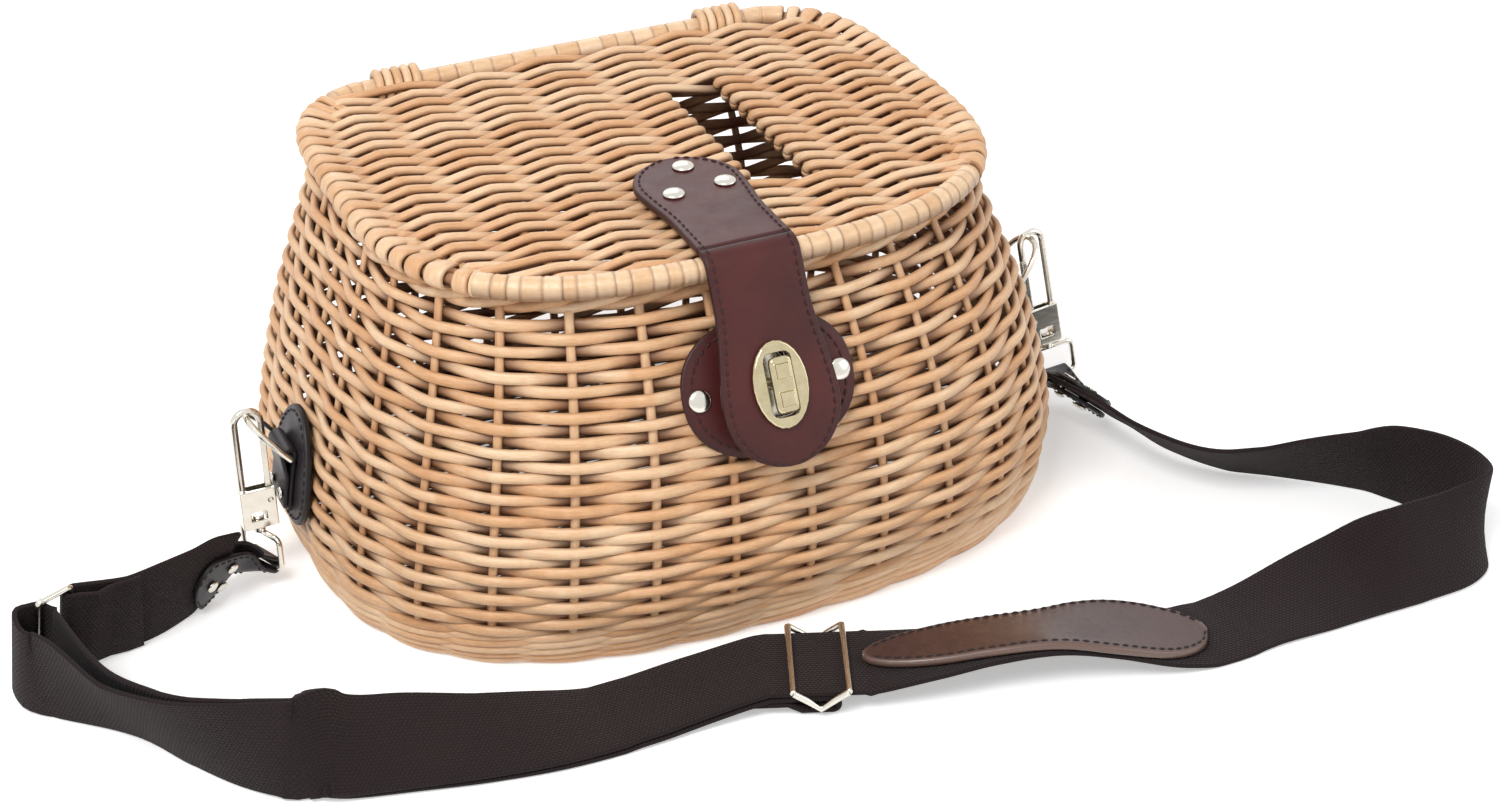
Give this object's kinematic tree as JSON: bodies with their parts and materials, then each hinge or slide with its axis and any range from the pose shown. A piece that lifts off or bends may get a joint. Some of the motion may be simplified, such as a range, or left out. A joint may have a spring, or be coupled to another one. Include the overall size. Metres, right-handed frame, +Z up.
{
  "type": "wicker fishing creel",
  "caption": "Woven willow creel with a hinged, slotted lid, a turn-lock leather latch and a long webbing shoulder strap on snap hooks.",
  "frame": {"origin": "middle of the underside of the foot, on the surface it stands on, on the basket's widest line", "axes": "+Z up; -Y towards the rounded front with the latch; +X towards the right end as seen from the front"},
  "size_m": [0.6467, 0.3723, 0.1891],
  "materials": {
    "woven_willow": "peeled willow, satin, honey brown",
    "willow_rod": "peeled willow rod, satin",
    "burgundy_leather": "smooth burgundy brown leather, waxed",
    "black_leather": "smooth black leather",
    "brown_leather": "smooth dark brown leather",
    "webbing": "dark brown woven webbing, matt",
    "pale_brass": "pale polished brass",
    "nickel_plate": "bright nickel plate"
  },
  "bodies": {
    "basket": {"basket_wall": "woven_willow", "foot_border": "woven_willow", "base_panel": "woven_willow", "rim_border": "woven_willow", "hinge_loop_left": "willow_rod", "hinge_loop_right": "willow_rod", "lock_patch": "burgundy_leather", "lock_base": "pale_brass", "patch_rivet_1": "nickel_plate", "patch_rivet_2": "nickel_plate", "side_patch_left": "black_leather", "side_patch_right": "black_leather", "ring_keeper_left": "black_leather", "ring_keeper_right": "black_leather", "keeper_rivet_left_1": "nickel_plate", "keeper_rivet_left_2": "nickel_plate", "keeper_rivet_right_1": "nickel_plate", "keeper_rivet_right_2": "nickel_plate", "swivel_eye_left": "nickel_plate", "swivel_eye_right": "nickel_plate", "strap_tab_left": "black_leather", "strap_tab_right": "black_leather", "tab_rivet_left_1": "nickel_plate", "tab_rivet_left_2": "nickel_plate", "tab_rivet_left_3": "nickel_plate", "tab_rivet_right_1": "nickel_plate", "tab_rivet_right_2": "nickel_plate", "tab_rivet_right_3": "nickel_plate", "webbing_short": "webbing", "webbing_long": "webbing", "adjust_ring": "nickel_plate", "shoulder_pad": "brown_leather"},
    "lid": {"lid_panel": "woven_willow", "lid_back_rod": "willow_rod", "lid_front_rod": "willow_rod", "lid_end_rod_left": "willow_rod", "lid_end_rod_right": "willow_rod", "slot_rod_left": "willow_rod", "slot_rod_right": "willow_rod", "latch_strap": "burgundy_leather", "latch_rivet_1": "nickel_plate", "latch_rivet_2": "nickel_plate", "latch_rivet_3": "nickel_plate"},
    "latch_flap": {"latch_flap": "burgundy_leather", "lock_plate": "pale_brass", "lock_back_plate": "pale_brass"},
    "turn_button": {"turn_button": "pale_brass"},
    "dee_ring_left": {"dee_ring_left": "nickel_plate"},
    "dee_ring_right": {"dee_ring_right": "nickel_plate"},
    "snap_hook_left": {"snap_hook_left": "nickel_plate", "gate_pin_left": "nickel_plate"},
    "snap_hook_right": {"snap_hook_right": "nickel_plate", "gate_pin_right": "nickel_plate"},
    "hook_gate_left": {"hook_gate_left": "nickel_plate"},
    "hook_gate_right": {"hook_gate_right": "nickel_plate"},
    "strap_slide": {"strap_slide": "nickel_plate"}
  },
  "joints": [
    {"name": "lid_hinge", "type": "hinge", "parent": "basket", "child": "lid", "pos_m": [0, 0.1165, 0.1773], "axis": [-1, 0, 0], "range_deg": [0, 105]},
    {"name": "latch_flap_hinge", "type": "hinge", "parent": "lid", "child": "latch_flap", "pos_m": [-0.005, -0.1165, 0.1867], "axis": [-1, 0, 0], "range_deg": [0, 100]},
    {"name": "turn_button_turn", "type": "hinge", "parent": "basket", "child": "turn_button", "pos_m": [-0.005, -0.14708, 0.13334], "axis": [0, -0.894, 0.448], "range_deg": [0, 90]},
    {"name": "dee_ring_left_swing", "type": "hinge", "parent": "basket", "child": "dee_ring_left", "pos_m": [-0.184, 0, 0.068], "axis": [0, -1, 0], "range_deg": [0, 7]},
    {"name": "dee_ring_right_swing", "type": "hinge", "parent": "basket", "child": "dee_ring_right", "pos_m": [0.184, 0, 0.068], "axis": [0, 1, 0], "range_deg": [0, 7]},
    {"name": "snap_hook_left_turn", "type": "hinge", "parent": "basket", "child": "snap_hook_left", "pos_m": [-0.199, 0, 0.03], "axis": [0, 0, 1], "range_deg": [-15, 15]},
    {"name": "snap_hook_right_turn", "type": "hinge", "parent": "basket", "child": "snap_hook_right", "pos_m": [0.199, 0, 0.084], "axis": [-0.1079, 0.1618, 0.9809], "range_deg": [-15, 15]},
    {"name": "hook_gate_left_open", "type": "hinge", "parent": "snap_hook_left", "child": "hook_gate_left", "pos_m": [-0.193, 0, 0.044], "axis": [0, -1, 0], "range_deg": [0, 14], "stiffness_Nm_per_rad": 0.02, "springref_deg": -17.19},
    {"name": "hook_gate_right_open", "type": "hinge", "parent": "snap_hook_right", "child": "hook_gate_right", "pos_m": [0.19735, -0.00658, 0.04413], "axis": [0, 0.9867, -0.1628], "range_deg": [0, 14], "stiffness_Nm_per_rad": 0.02, "springref_deg": -17.19},
    {"name": "strap_slide_travel", "type": "slide", "parent": "basket", "child": "strap_slide", "axis": [0.9292, -0.3697, 0], "range_m": [-0.005, 0.005]}
  ]
}
